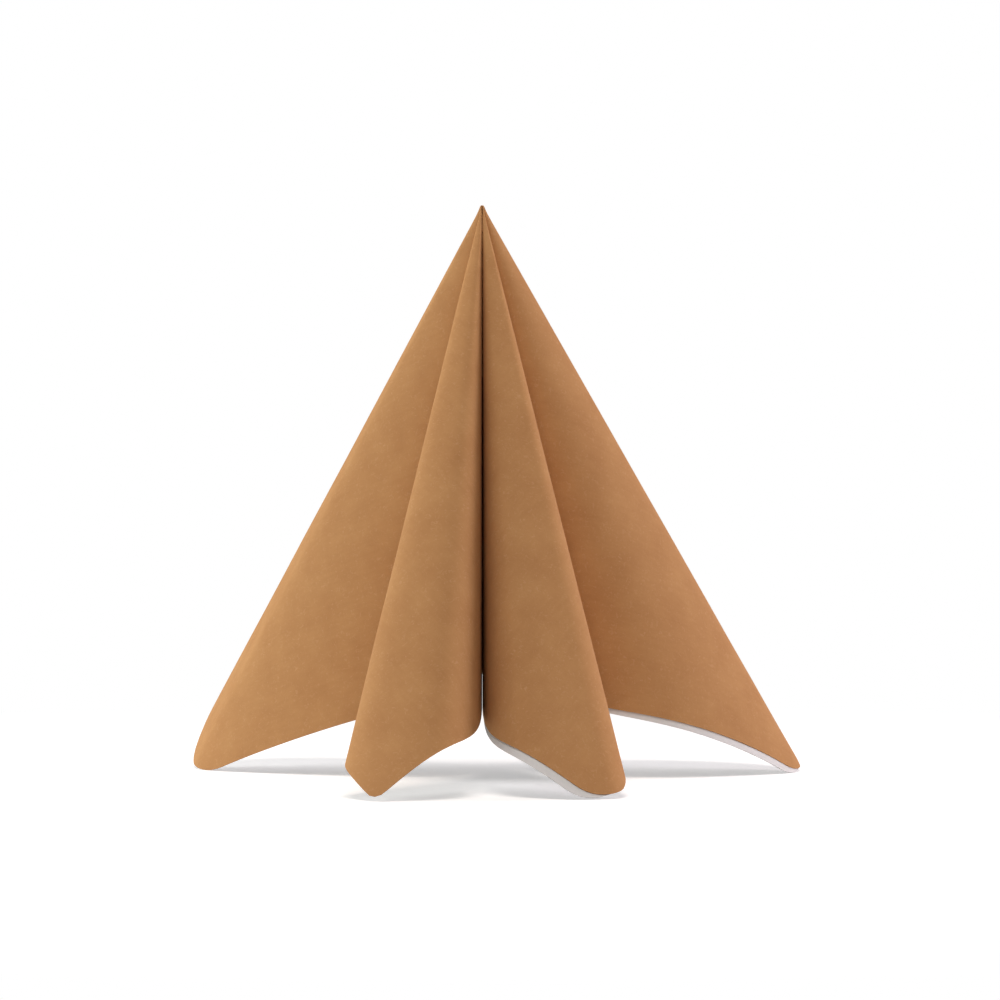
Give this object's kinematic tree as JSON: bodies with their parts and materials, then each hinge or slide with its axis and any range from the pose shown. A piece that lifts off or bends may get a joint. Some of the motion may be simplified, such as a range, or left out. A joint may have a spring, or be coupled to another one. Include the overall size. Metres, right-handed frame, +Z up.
{
  "type": "paper_napkin",
  "caption": "Brown paper napkin with a white inner ply, folded along its middle lines and stood up on its corners",
  "frame": {"origin": "centre of the footprint box, on the table", "axes": "+Z up, +X to the right, +Y to the back; the front is the side with the two narrow lobes"},
  "size_m": [0.2612, 0.2336, 0.2399],
  "materials": {
    "napkin_paper": "matte"
  },
  "bodies": {
    "root": {"napkin": "napkin_paper"}
  },
  "joints": []
}
